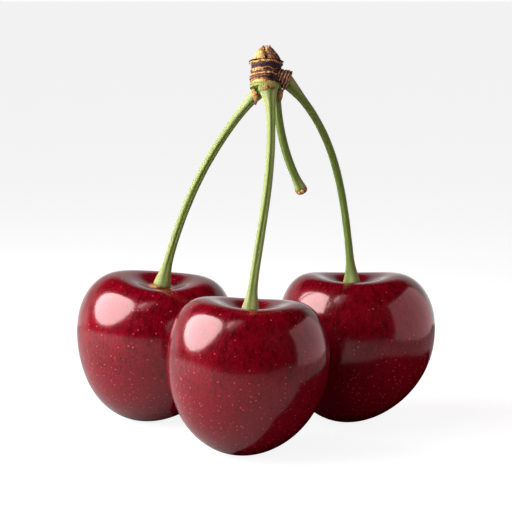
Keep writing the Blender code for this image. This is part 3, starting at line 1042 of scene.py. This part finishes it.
class CHERRIES_OT_side_bud(Operator):
    """Adds the side bud, a stack of torn cups that the right stalk grows from"""

    bl_idname = "cherries.side_bud"
    bl_label = "Side bud"

    def execute(self, context):
        wood = context.scene.cherries.wood
        depth = np.linspace(-BUD_DEPTH, BUD_LIP, BUD_RINGS)
        back, front = np.full(BUD_BACK_RINGS, depth[0]), np.full(BUD_FRONT_RINGS, depth[-1])
        height = np.concatenate([back, depth, front])[:, None]
        closing = np.linspace(0.1, 0.95, BUD_BACK_RINGS)
        opening = np.linspace(0.93, 0.3, BUD_FRONT_RINGS)
        inset = np.concatenate([closing, np.ones(BUD_RINGS), opening])[:, None]
        turn = turns(BUD_SIDES)[None, :]
        widening = rise(height, -0.62 * BUD_DEPTH, -0.30 * BUD_DEPTH)
        radius = BUD_BACK_RADIUS + (BUD_MOUTH_RADIUS - BUD_INSET - BUD_BACK_RADIUS) * widening
        pale = 0 * (height + turn)
        groove = 1 + pale
        for number, share in enumerate(CUP_SHARES):
            cup = -share * BUD_DEPTH
            wander = CUP_WANDER * CUP_WAVES.at(turn, 0, number)
            edge = bump(height, cup + wander, CUP_THICKNESS)
            bite = 1 + CUP_BITE * CUP_TEETH.at(turn, 0, number)
            radius = radius + CUP_LIP * edge * bite
            rim = bump(height, cup + wander + CUP_RIM_RISE, CUP_RIM_THICKNESS)
            pale = np.maximum(pale, rim * CUP_PALENESS[number % 2])
            groove = groove * (1 - edge)
        dark = np.clip(0.25 + groove * 0.55, 0, 1) * (1 - 0.9 * pale)
        radius = radius * inset
        rotation, mouth = bud_frame()
        points = ring_points(radius, turn, height) @ rotation.T + mouth
        layers = {
            "grain": grain(turn, height / MM),
            "pale": pale * inset,
            "dark": dark,
            "green": 0 * dark,
        }
        bud = closed_skin("side_bud_cups", points, layers)
        finished(bud, wood_material(wood), "side_bud")
        return {"FINISHED"}


# ---------------------------------------------------------------- stalks


FLARE_POWER = 1.6
INTO_THE_PIT = 0.45 * MM  # a stalk's skin goes on past the solid's end, down to the fruit
RIDGE_COUNT = 5
REGULAR = 0.6  # how much of the relief is the even ridges
TWIST_PER_MM = 0.02
GROOVE_TWIST_PER_MM = 0.012
GROOVE_SPREAD = 0.30
GROOVE_DEPTH = 2.2  # in ridges
LUMPS = 0.018
WOBBLE = 1.3  # how far the ridges wander round, in radians of their wave
WOBBLE_PITCH, RIDGE_PITCH, LUMP_PITCH = 4 * MM, 3 * MM, 2 * MM
WOBBLE_WAVES = Ripples(seed=0, waves=4, most_round=0, most_along=2)
RIDGE_WAVES = Ripples(seed=1, waves=6, most_round=11, most_along=1)
LUMP_WAVES = Ripples(seed=2, waves=8, most_round=3, most_along=3)
TUCK = 0.54  # how slim the head starts, inside the spur's collar
TUCK_FROM, TUCK_TO = 0.15 * MM, 1.05 * MM
USUAL_PALENESS = 0.35
PALE_HEAD, PALE_FOOT = 4 * MM, 2.5 * MM
LINE_POINTS = 300  # on a centre line that other pieces follow


def centre_line(start, set_off, end, arrival, stalk, count):
    """Cubic Bezier curve from the spur down to the fruit, and the distance along it.

    Its handles lie along the directions in which it leaves and arrives, at shares of the
    straight distance.
    """
    span = np.linalg.norm(end - start)
    handles = np.stack(
        [
            start,
            start + unit(set_off) * span * stalk.top_reach,
            end + unit(arrival) * span * stalk.foot_reach,
            end,
        ]
    )
    share = np.linspace(0, 1, count)[:, None]
    weights = np.concatenate(
        [(1 - share) ** 3, 3 * share * (1 - share) ** 2, 3 * share**2 * (1 - share), share**3], 1
    )
    line = weights @ handles
    steps = np.linalg.norm(np.diff(line, axis=0), axis=1)
    return line, np.concatenate([[0], np.cumsum(steps)])


def stalk_line(name, count):
    """Centre line of a stalk from its socket to its foot, and the distance along it."""
    stalk = STALKS[name]
    rotation, foot_of_spur = spur_frame()
    if name == "right":
        turn, mouth = bud_frame()
        start = mouth - turn @ UP * SOCKET_DEPTH
    else:
        distance, angle = FOOT_SOCKETS[name]
        angle = math.radians(angle)
        start = np.array([distance * math.cos(angle), distance * math.sin(angle), SOCKET_DEPTH])
        start = rotation @ start + foot_of_spur
    if name == "bare":
        low, high = (np.array(corner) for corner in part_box("stalk_scar"))
        end = (low + high) / 2 - unit(BARE_END_AIM) * SCAR_TO_STALK
        return centre_line(start, stalk.set_off, end, -BARE_END_AIM, stalk, count)
    fruit = FRUITS[name]
    turned, place = fruit_place(name)
    tilt = stalk.foot * math.sin(math.radians(abs(stalk.foot_lean)))
    pit = np.array([fruit.pit_shift, 0, fruit.crown - fruit.pit_drop + SEAT_GAP + tilt])
    axis = lean(0, stalk.foot_lean) @ turned @ UP
    return centre_line(start, stalk.set_off, turned @ pit + place, axis, stalk, count)


def stalk_radius(stalk, along, length):
    """Slim in the middle, swelling to both ends by exp(-(distance / flare)^power)."""
    top = (stalk.top - stalk.middle) * np.exp(-((along / stalk.top_flare) ** FLARE_POWER))
    back = (length - along) / stalk.foot_flare
    foot = (stalk.foot - stalk.middle) * np.exp(-(back**FLARE_POWER))
    return stalk.middle + top + foot


def crossways(line):
    """For each point of a line: the direction nearest the front and the one to its right."""
    ahead = unit(np.gradient(line, axis=0))
    outward = unit(FRONT - (ahead @ FRONT)[:, None] * ahead)
    return ahead, outward, np.cross(outward, ahead)


STREAK_STRETCH = (2.6, 2.6, 0.10)
FIBRE_STRETCH = (7, 7, 0.9)
THREAD_STRETCH = (16, 16, 1.0)
SPECK_SCALE = 4200
STALK_RELIEF = 0.03 * MM


def stalk_material(stalk):
    """Green skin with pale lengthwise ridges, fine specks, brown ends, painted shade in its groove,
    painted light and shade that differs from stalk to stalk, and a little inner glow.
    """
    recipe = Recipe(bpy.data.materials.new("stalk_skin"))
    place, lengthwise = recipe.place(), recipe.vector_layer("grain")
    groove, blush, pale = recipe.layer("groove"), recipe.layer("blush"), recipe.layer("pale")
    streaks = recipe.noise(recipe.stretched(lengthwise, STREAK_STRETCH), 1.0, 4.0, 0.55)
    fibres = recipe.noise(recipe.stretched(lengthwise, FIBRE_STRETCH), 1.0, 3.0, 0.6)
    threads = recipe.noise(recipe.stretched(lengthwise, THREAD_STRETCH), 1.0, 3.0, 0.6)
    specks = recipe.noise(place, SPECK_SCALE, 3.0, 0.65)
    light = streaks * 0.5 + threads * 0.5 + fibres * 0.3 + specks * 0.2
    # groove * 0.5 is painted shade: the groove is painted darker, as the shade that lies in it.
    light = light + pale * 0.35 - groove * 0.5
    colour = recipe.mix(light.over(0.43, 1.03), stalk.green, stalk.pale)
    colour = recipe.mix((blush + (fibres - 0.5) * 0.7).over(0.35, 0.85), colour, stalk.blush)
    height = fibres * 0.7 + specks * 0.5
    roughness = 0.50 + specks * 0.2
    return recipe.finish(
        colour,
        roughness,
        height,
        STALK_RELIEF,
        specular_ior_level=0.3,
        subsurface_weight=0.55,
        subsurface_radius=(1.0, 1.0, 0.5),
        subsurface_scale=1.0 * MM,
    )


class CHERRIES_OT_stalks(Operator):
    """Adds the three fruiting stalks and the one that has lost its fruit"""

    bl_idname = "cherries.stalks"
    bl_label = "Stalks"

    def execute(self, context):
        settings = context.scene.cherries.stalk
        material = stalk_material(settings)
        for name, stalk in STALKS.items():
            line, along = stalk_line(name, settings.rings)
            if name != "bare":
                ahead = unit(line[-1] - line[-2])
                line = np.concatenate([line, [line[-1] + ahead * INTO_THE_PIT]])
                along = np.append(along, along[-1] + INTO_THE_PIT)
            length = along[-1]
            _, outward, side = crossways(line)
            turn = turns(settings.sides)[None, :]
            way = along[:, None]
            radius = stalk_radius(stalk, way, length)
            twist = turn + TWIST_PER_MM * way / MM
            wobble = WOBBLE * WOBBLE_WAVES.at(0, way / WOBBLE_PITCH, stalk.seed)
            ridges = REGULAR * np.cos(RIDGE_COUNT * twist + wobble)
            ridges = ridges + (1 - REGULAR) * RIDGE_WAVES.at(twist, way / RIDGE_PITCH, stalk.seed)
            groove_turn = turn + GROOVE_TWIST_PER_MM * way / MM
            groove = bump(round_gap(groove_turn, stalk.groove), 0, GROOVE_SPREAD)
            radius = radius + settings.ridge * (ridges - GROOVE_DEPTH * groove)
            radius = radius * (1 + LUMPS * LUMP_WAVES.at(turn, way / LUMP_PITCH, stalk.seed))
            if name in ("front", "left"):
                radius = radius * (TUCK + (1 - TUCK) * rise(way, TUCK_FROM, TUCK_TO))
            away = spokes(turn, outward[:, None], side[:, None])
            points = line[:, None] + radius[..., None] * away
            blush = bump(length - way, 0, 0.35 * MM) * 0.35 + bump(way, 0.9 * MM, 0.35 * MM) * 0.25
            if name == "bare":
                blush = bump(length - way, 0, 0.5 * MM) * 0.9
            pale = bump(way, 0, PALE_HEAD) + bump(length - way, 0, PALE_FOOT)
            # The pale layer holds each stalk's painted light and shade on top of the paler ends that
            # the stalk has.
            layers = {
                "grain": grain(turn, way / MM),
                "groove": groove,
                "blush": blush + 0 * turn,
                "pale": stalk.painted_lightness / USUAL_PALENESS + pale + 0 * turn,
            }
            node = "bare_stalk" if name == "bare" else f"stalk_{name}"
            finished(closed_skin(f"{node}_skin", points, layers), material, node)
        return {"FINISHED"}


# The scar's half outline: distance out in foot radii of the bare stalk, and height in millimetres.
CORK_PROFILE = np.array(
    [
        (0.30, -0.25),
        (0.86, -0.22),
        (0.97, 0.0),
        (1.0, 0.15),
        (0.93, 0.34),
        (0.74, 0.52),
        (0.46, 0.66),
        (0.2, 0.70),
    ]
)
CORK_RINGS, CORK_SIDES = 50, 72
CORK_PITCH = 0.25 * MM
CORK_WAVES = Ripples(seed=131, waves=9, most_round=9, most_along=2)
CORK_WIDTH_SHARE = 0.05  # how far its sides wander, as a share of its radius
CORK_ROUGHNESS = 0.05 * MM


class CHERRIES_OT_stalk_scar(Operator):
    """Adds the dry scar where the fourth fruit fell off"""

    bl_idname = "cherries.stalk_scar"
    bl_label = "Stalk scar"

    def execute(self, context):
        wood = context.scene.cherries.wood
        line, _ = stalk_line("bare", LINE_POINTS)
        share = np.linspace(0, len(CORK_PROFILE) - 1, CORK_RINGS)
        corners = np.arange(len(CORK_PROFILE))
        out = np.interp(share, corners, CORK_PROFILE[:, 0])[:, None] * STALKS["bare"].foot
        height = np.interp(share, corners, CORK_PROFILE[:, 1])[:, None] * MM
        turn = turns(CORK_SIDES)[None, :]
        rough = CORK_WAVES.at(turn, height / CORK_PITCH)
        out = out * (1 + CORK_WIDTH_SHARE * rough)
        height = height + CORK_ROUGHNESS * rough * rise(height, 0.1 * MM, 0.5 * MM)
        points = ring_points(out, turn, height) @ turned_to(BARE_END_AIM).T + line[-1]
        layers = {
            "grain": grain(turn, height / MM),
            "pale": 0.62 + 0.3 * rough,
            "dark": 0.5 * bump(height, 0.45 * MM, 0.2 * MM) * (rough > 0.2),
            "green": 0 * rough,
        }
        scar = closed_skin("stalk_scar_cork", points, layers)
        finished(scar, wood_material(wood), "stalk_scar")
        return {"FINISHED"}


# ---------------------------------------------------------------- scales


def scale_section(count):
    """One ring round a thin scale: its outer arc, then its inner arc back, with thin edges.

    It returns each point's angle from the scale's middle, in half widths, and its distance
    above the inner face, in thicknesses, which follows a half circle across the scale.
    """
    across = np.cos(np.linspace(0, math.pi, count // 2))
    body = np.sqrt(np.clip(1 - across**2, 0, 1))
    return np.concatenate([across, -across]), np.concatenate([body, np.zeros(count // 2)])


TIP_TINTS = ((0.40, 0.25), (0.45, 0.20), (0.95, 0.0), (0.30, 0.35))  # how pale, how dark
TIP_RINGS, TIP_SIDES = 60, 72
TIP_HALF_WIDTH = math.radians(43)
TIP_NARROWING, TIP_NARROWING_POWER = 0.70, 1.8  # share of the width that it loses by its end
TIP_THINNING = 0.55
TIP_FROM = SPUR_NECK - 0.10 * MM
TIP_REACH = TIP_SCALE_LENGTH + 0.60 * MM
TIP_THICKNESS = 0.42 * MM
TIP_CLEARANCE = 0.22 * MM
TIP_SWELL = 0.45 * MM
TIP_CUT = 0.22 * MM
TIP_EDGE_DROP = 0.25 * MM
TIP_ROUGHNESS = 0.05 * MM
TIP_TEAR = 0.06
TEAR_WAVES = Ripples(seed=150, waves=7, most_round=5, most_along=4)
TIP_WAVES = Ripples(seed=160, waves=8, most_round=11, most_along=3)
CUT_WAVES = Ripples(seed=170, waves=5, most_round=7, most_along=0)


class CHERRIES_OT_tip_scales(Operator):
    """Adds the torn scales that close over the spur's tip"""

    bl_idname = "cherries.tip_scales"
    bl_label = "Tip scales"

    def execute(self, context):
        wood = context.scene.cherries.wood
        material = wood_material(wood)
        rotation, foot = spur_frame()
        for number, (pale, dark) in enumerate(TIP_TINTS):
            up = np.linspace(0, 1, TIP_RINGS)[:, None]
            middle = math.radians(90 * number + 45)
            rounding = np.sqrt(np.clip(1 - (up - 0.02) ** 9, 0.01, 1))
            half = TIP_HALF_WIDTH * (1 - TIP_NARROWING * up**TIP_NARROWING_POWER) * rounding
            angle, lift = scale_section(TIP_SIDES)
            torn = TIP_TEAR * TEAR_WAVES.at(5 * angle[None, :], up * 3, number)
            turn = middle + half * angle[None, :] * (1 + torn)
            above = TIP_FROM + TIP_REACH * up
            core = spur_core(np.minimum(above + 0.2 * MM, SPUR_LENGTH))
            thick = TIP_THICKNESS * (1 - TIP_THINNING * up) * lift[None, :]
            swell = TIP_SWELL * np.sin(math.pi * np.clip(up * 0.85 + 0.15, 0, 1))
            radius = core + TIP_CLEARANCE + swell + thick
            radius = radius + TIP_ROUGHNESS * TIP_WAVES.at(turn, up * 6, number)
            edge = 1 - lift[None, :] + 0 * up
            cut = TIP_CUT * CUT_WAVES.at(turn * 3, 0, number) * up**3
            height = above + cut - TIP_EDGE_DROP * edge * up
            points = ring_points(radius, turn, height) @ rotation.T + foot
            patch = bump(up, 0.35, 0.28) * bump(angle[None, :], -0.1, 0.6)
            shade = dark * (1 - 0.6 * patch) + 0.7 * bump(up, 0, 0.06) + 0.35 * bump(edge, 0.8, 0.2)
            layers = {
                "grain": grain(turn, above / MM),
                "pale": np.clip(pale * (0.35 + 0.8 * patch) + 0.25 * edge, 0, 1),
                "dark": np.clip(shade, 0, 1),
                "green": 0 * edge,
            }
            name = f"tip_scale_{number + 1}"
            finished(closed_skin(f"{name}_torn", points, layers), material, name)
        return {"FINISHED"}


@dataclass
class Bract:
    """A small scale that hugs a stalk. Turns are in degrees from the front towards the left."""

    stalk: str
    start: float
    length: float
    half_width: float  # in degrees
    base_turn: float
    tip_turn: float
    thickness: float
    arch: float  # how much higher its middle is than its sides
    pale: float
    green: float


BRACTS = {
    "bract_left": Bract(
        stalk="left",
        start=0.9 * MM,
        length=2.2 * MM,
        half_width=38,
        base_turn=40,
        tip_turn=-70,
        thickness=0.30 * MM,
        arch=0,
        pale=0.55,
        green=0,
    ),
    "bract_front": Bract(
        stalk="front",
        start=0.45 * MM,
        length=0.45 * MM,
        half_width=84,
        base_turn=0,
        tip_turn=0,
        thickness=0.16 * MM,
        arch=0.80 * MM,
        pale=0.55,
        green=0.95,
    ),
    "bract_right": Bract(
        stalk="bare",
        start=0.6 * MM,
        length=1.9 * MM,
        half_width=50,
        base_turn=-75,
        tip_turn=-35,
        thickness=0.30 * MM,
        arch=0,
        pale=0.55,
        green=0,
    ),
    "bract_back": Bract(
        stalk="left",
        start=1.5 * MM,
        length=2.0 * MM,
        half_width=50,
        base_turn=190,
        tip_turn=160,
        thickness=0.30 * MM,
        arch=0,
        pale=0.6,
        green=0,
    ),
}


BRACT_RINGS, BRACT_SIDES = 44, 56
BRACT_CLEARANCE = 0.16 * MM
BRACT_NARROWING, BRACT_NARROWING_POWER = 0.85, 1.6
BRACT_THINNING = 0.6
BRACT_ROUGHNESS = 0.03 * MM
BRACT_WAVES = Ripples(seed=180, waves=7, most_round=9, most_along=3)


def follow(reach, along, track):
    """A track of directions or places down a stalk, read at other distances along it."""
    return np.stack([np.interp(reach, along, track[:, axis]) for axis in range(3)], -1)


class CHERRIES_OT_bracts(Operator):
    """Adds the papery scales that hug the stalks under the spur"""

    bl_idname = "cherries.bracts"
    bl_label = "Bracts"

    def execute(self, context):
        wood = context.scene.cherries.wood
        material = wood_material(wood)
        for number, (name, bract) in enumerate(BRACTS.items()):
            stalk = STALKS[bract.stalk]
            line, along = stalk_line(bract.stalk, LINE_POINTS)
            _, outward, side = crossways(line)
            down = np.linspace(0, 1, BRACT_RINGS)[:, None]
            angle, lift = scale_section(BRACT_SIDES)
            reach = bract.start + bract.length * down + bract.arch * angle[None, :] ** 2
            centre, out, across = (follow(reach, along, track) for track in (line, outward, side))
            narrowing = 1 - BRACT_NARROWING * down**BRACT_NARROWING_POWER
            half = math.radians(bract.half_width) * narrowing
            middle = np.radians(bract.base_turn + (bract.tip_turn - bract.base_turn) * down)
            turn = -(middle + half * angle[None, :])
            radius = stalk_radius(stalk, reach, along[-1]) + BRACT_CLEARANCE
            radius = radius + bract.thickness * lift[None, :] * (1 - BRACT_THINNING * down)
            radius = radius + BRACT_ROUGHNESS * BRACT_WAVES.at(turn, down * 5, number)
            points = centre + radius[..., None] * spokes(turn, out, across)
            edge = 1 - lift[None, :] + 0 * down
            layers = {
                "grain": grain(turn, down * 3),
                "pale": bract.pale * (1 - 0.5 * edge),
                "dark": 0.05 + 0.4 * bump(edge, 1, 0.25) + 0.3 * bump(down, 0, 0.1),
                "green": bract.green * (1 - rise(down, 0.62, 0.78)) + 0 * edge,
            }
            finished(closed_skin(f"{name}_paper", points, layers), material, name)
        return {"FINISHED"}


# ---------------------------------------------------------------- studio


WALL_GLOW = 0.80
BACKDROP_GLOW = 0.97
FLOOR_GLOW = 0.88
FLOOR_REACH = 4.0
TABLE_GREY = (0.30, 0.30, 0.30)
TABLE_LEFT, TABLE_RIGHT, TABLE_NEAR, TABLE_BACK = -0.20, 0.15, -0.107, 0.10
CARD_LIFT = 0.02 * MM
SHADE_OUTLINE = ((-14, 6), (-3, -16), (8, -24), (40, -27), (56, -8), (60, 40), (-14, 40))  # in mm
SIDE_CARD_AT = 0.085
SIDE_CARD_NEAR, SIDE_CARD_BACK, SIDE_CARD_LOW, SIDE_CARD_HIGH = -0.05, 0.07, 0.004, 0.085
SIDE_CARD_GLOW = 1.15
SIDE_CARD_TINT = (1, 0.70, 0.74)
FRUIT_MIDDLE = Vector((0, 0, 16 * MM))
SENSOR_WIDTH = 36
NEAREST, FURTHEST = 0.01, 20


@dataclass
class Lamp:
    """An oval lamp. Its radiance is the stage's setting of the same name."""

    place: tuple
    width: float
    height: float
    mirrored: bool  # whether reflections show it
    aim: tuple = None


LAMPS = {
    "key": Lamp((-0.133, -0.028, 0.106), 0.176, 0.186, True),
    "small_lamp": Lamp((-0.062, -0.085, 0.193), 0.013, 0.075, True),
    "small_halo": Lamp((-0.050, -0.085, 0.193), 0.044, 0.140, True),
    "front_fill": Lamp((-0.24, -0.36, 0.14), 0.40, 0.20, False),
    "side_fill": Lamp((0.10, -0.12, 0.10), 0.12, 0.12, False),
    "low_bounce": Lamp((-0.10, -0.09, 0.001), 0.12, 0.12, False, (0, 0, 1)),
}


def card(name, corners, colour, glow=0.0, tint=(1, 1, 1), hidden_from=()):
    """A flat card for the studio, from its corners, in order.

    hidden_from lists the kinds of ray that pass through it.
    """
    mesh = bpy.data.meshes.new(name)
    mesh.from_pydata(corners, [], [range(len(corners))])
    obj = bpy.data.objects.new(name, mesh)
    bpy.context.scene.collection.objects.link(obj)
    recipe = Recipe(bpy.data.materials.new(name))
    surface = recipe.finish(
        (*colour, 1), 0.9, specular_ior_level=0.0, emission_color=(*tint, 1), emission_strength=glow
    )
    mesh.materials.append(surface)
    for kind in hidden_from:
        setattr(obj, f"visible_{kind}", False)


def oblong(left, right, near, back, height):
    """Corners of a level oblong, in order."""
    return [(left, near, height), (right, near, height), (right, back, height), (left, back, height)]


def softbox(name, lamp, radiance):
    """An oval light that faces along its aim, or else the middle of the fruit."""
    data = bpy.data.lights.new(name, "AREA")
    data.shape = "ELLIPSE"
    data.size = lamp.width
    data.size_y = lamp.height
    data.energy = radiance * lamp.width * lamp.height * math.pi * math.pi / 4
    obj = bpy.data.objects.new(name, data)
    bpy.context.scene.collection.objects.link(obj)
    obj.location = lamp.place
    away = Vector(lamp.place) - FRUIT_MIDDLE if lamp.aim is None else -Vector(lamp.aim)
    obj.rotation_euler = away.to_track_quat("Z", "Y").to_euler()
    obj.visible_camera = False
    obj.visible_glossy = lamp.mirrored


def studio_world(ambient):
    """Pale to the camera, a soft fill on matt surfaces, and a low wall behind in mirrors."""
    recipe = Recipe(bpy.data.worlds.new("studio"))
    direction = recipe.node("ShaderNodeTexCoord").outputs["Generated"]
    way = recipe.node("ShaderNodeSeparateXYZ", None, {0: direction}).outputs
    behind, above = Number(recipe, way[1]), Number(recipe, way[2])
    paths = recipe.node("ShaderNodeLightPath").outputs
    seen, mirrored = Number(recipe, paths["Is Camera Ray"]), Number(recipe, paths["Is Glossy Ray"])
    soft = (above.over(-0.3, 0.4) * 0.65 + 0.35) * ambient
    fading = 1 - above.over(0.02, 0.22) * 0.45 - above.over(0.36, 0.56) * 0.55
    wall = behind.over(0.20, 0.50) * fading * WALL_GLOW
    strength = soft * (1 - mirrored) + wall * mirrored
    background = recipe.tree.nodes["Background"].inputs
    background["Color"].default_value = (1, 1, 1, 1)
    recipe.feed(background["Strength"], strength * (1 - seen) + seen * BACKDROP_GLOW)
    return recipe.owner


class CHERRIES_OT_stage(Operator):
    """Adds the pale floor, the soft lights and the camera"""

    bl_idname = "cherries.stage"
    bl_label = "Stage"

    def execute(self, context):
        studio = context.scene.cherries.studio
        scene = context.scene
        scene.world = studio_world(studio.ambient)
        scene.view_settings.view_transform = "Standard"
        far = FLOOR_REACH
        card(
            "floor",
            oblong(-far, far, -far, far, 0),
            tuple(studio.floor),
            FLOOR_GLOW,
            hidden_from=("glossy", "diffuse"),
        )
        table = oblong(TABLE_LEFT, TABLE_RIGHT, TABLE_NEAR, TABLE_BACK, CARD_LIFT)
        card("table_top", table, TABLE_GREY, hidden_from=("camera", "shadow"))
        # A black card that only reflections see, laid where the fruit's shadows fall on the table: a
        # painted shadow.
        shade = [(x * MM, y * MM, 2 * CARD_LIFT) for x, y in SHADE_OUTLINE]
        card("shade_card", shade, (0, 0, 0), hidden_from=("camera", "diffuse", "shadow"))
        near, back, low, high = SIDE_CARD_NEAR, SIDE_CARD_BACK, SIDE_CARD_LOW, SIDE_CARD_HIGH
        wall = [(SIDE_CARD_AT, y, z) for y, z in ((near, low), (back, low), (back, high), (near, high))]
        card("side_card", wall, (0, 0, 0), SIDE_CARD_GLOW, SIDE_CARD_TINT, ("camera", "shadow"))
        for name, lamp in LAMPS.items():
            softbox(name, lamp, getattr(studio, name))

        camera = bpy.data.objects.new("camera", bpy.data.cameras.new("camera"))
        scene.collection.objects.link(camera)
        camera.data.lens = studio.lens
        camera.data.sensor_width = SENSOR_WIDTH
        aim = Vector((0, 0, studio.aim_height))
        back = Vector((0, -math.cos(studio.elevation), math.sin(studio.elevation)))
        camera.location = aim + back * studio.distance
        camera.rotation_euler = back.to_track_quat("Z", "Y").to_euler()
        camera.data.clip_start = NEAREST
        camera.data.clip_end = FURTHEST
        scene.camera = camera
        return {"FINISHED"}


class VIEW3D_PT_cherries(Panel):
    """Lists the bunch's pieces in the sidebar"""

    bl_label = "Cherries"
    bl_space_type = "VIEW_3D"
    bl_region_type = "UI"
    bl_category = "Cherries"

    def draw(self, context):
        for piece in PIECES:
            self.layout.operator(piece.bl_idname)


PIECES = (
    CHERRIES_OT_fruit,
    CHERRIES_OT_spur,
    CHERRIES_OT_side_bud,
    CHERRIES_OT_stalks,
    CHERRIES_OT_stalk_scar,
    CHERRIES_OT_tip_scales,
    CHERRIES_OT_bracts,
    CHERRIES_OT_stage,
)
SETTINGS = (SkinSettings, StalkSettings, WoodSettings, StudioSettings, CherrySettings)


def register():
    for entry in (*SETTINGS, *PIECES, VIEW3D_PT_cherries):
        bpy.utils.register_class(entry)
    bpy.types.Scene.cherries = PointerProperty(type=CherrySettings)


def unregister():
    del bpy.types.Scene.cherries
    for entry in reversed((*SETTINGS, *PIECES, VIEW3D_PT_cherries)):
        bpy.utils.unregister_class(entry)


def main():
    register()
    for piece in PIECES:
        group, action = piece.bl_idname.split(".")
        getattr(getattr(bpy.ops, group), action)()


if __name__ == "__main__":
    main()
